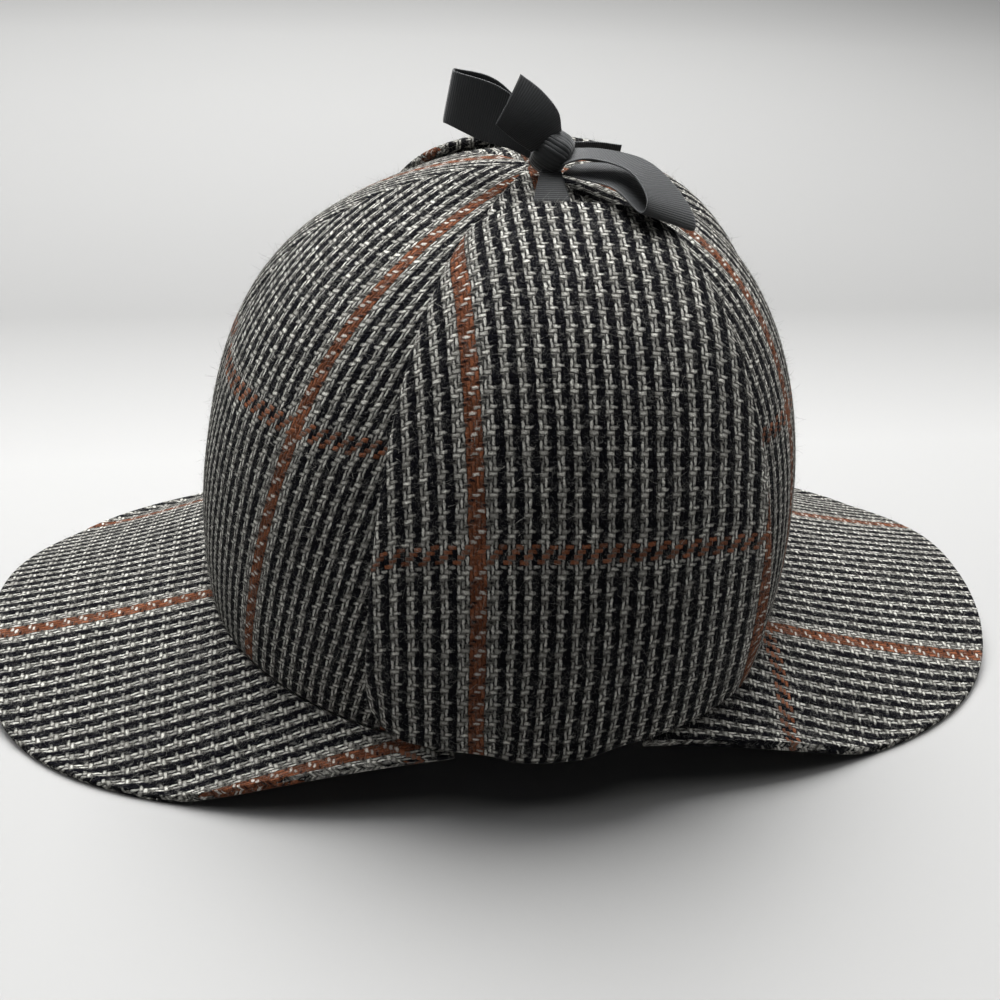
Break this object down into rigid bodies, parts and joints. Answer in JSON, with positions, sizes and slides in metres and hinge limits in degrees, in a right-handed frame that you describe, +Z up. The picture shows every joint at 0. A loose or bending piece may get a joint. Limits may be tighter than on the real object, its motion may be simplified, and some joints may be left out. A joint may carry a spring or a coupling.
{
  "type": "deerstalker hat",
  "caption": "Checked tweed deerstalker hat with a panelled crown, front and back peaks, and ear flaps tied up over the crown with a black ribbon bow.",
  "frame": {"origin": "middle of the hat's footprint, on the surface it stands on", "axes": "+X from the front peak to the back peak, +Y to the wearer's right, +Z up"},
  "size_m": [0.351, 0.1928, 0.1956],
  "materials": {
    "tweed": "woven wool, matt",
    "ribbon": "ribbed ribbon, slight sheen"
  },
  "bodies": {
    "root": {"crown_panel_front_left": "tweed", "crown_panel_left": "tweed", "crown_panel_back_left": "tweed", "crown_panel_back_right": "tweed", "crown_panel_right": "tweed", "crown_panel_front_right": "tweed", "peak_front": "tweed", "peak_back": "tweed", "ear_flap_left": "tweed", "ear_flap_right": "tweed", "bow_knot": "ribbon", "bow_loop_front": "ribbon", "bow_loop_back": "ribbon", "bow_tail_front": "ribbon", "bow_tail_back": "ribbon", "ribbon_tie_left": "ribbon", "ribbon_tie_right": "ribbon"}
  },
  "joints": []
}
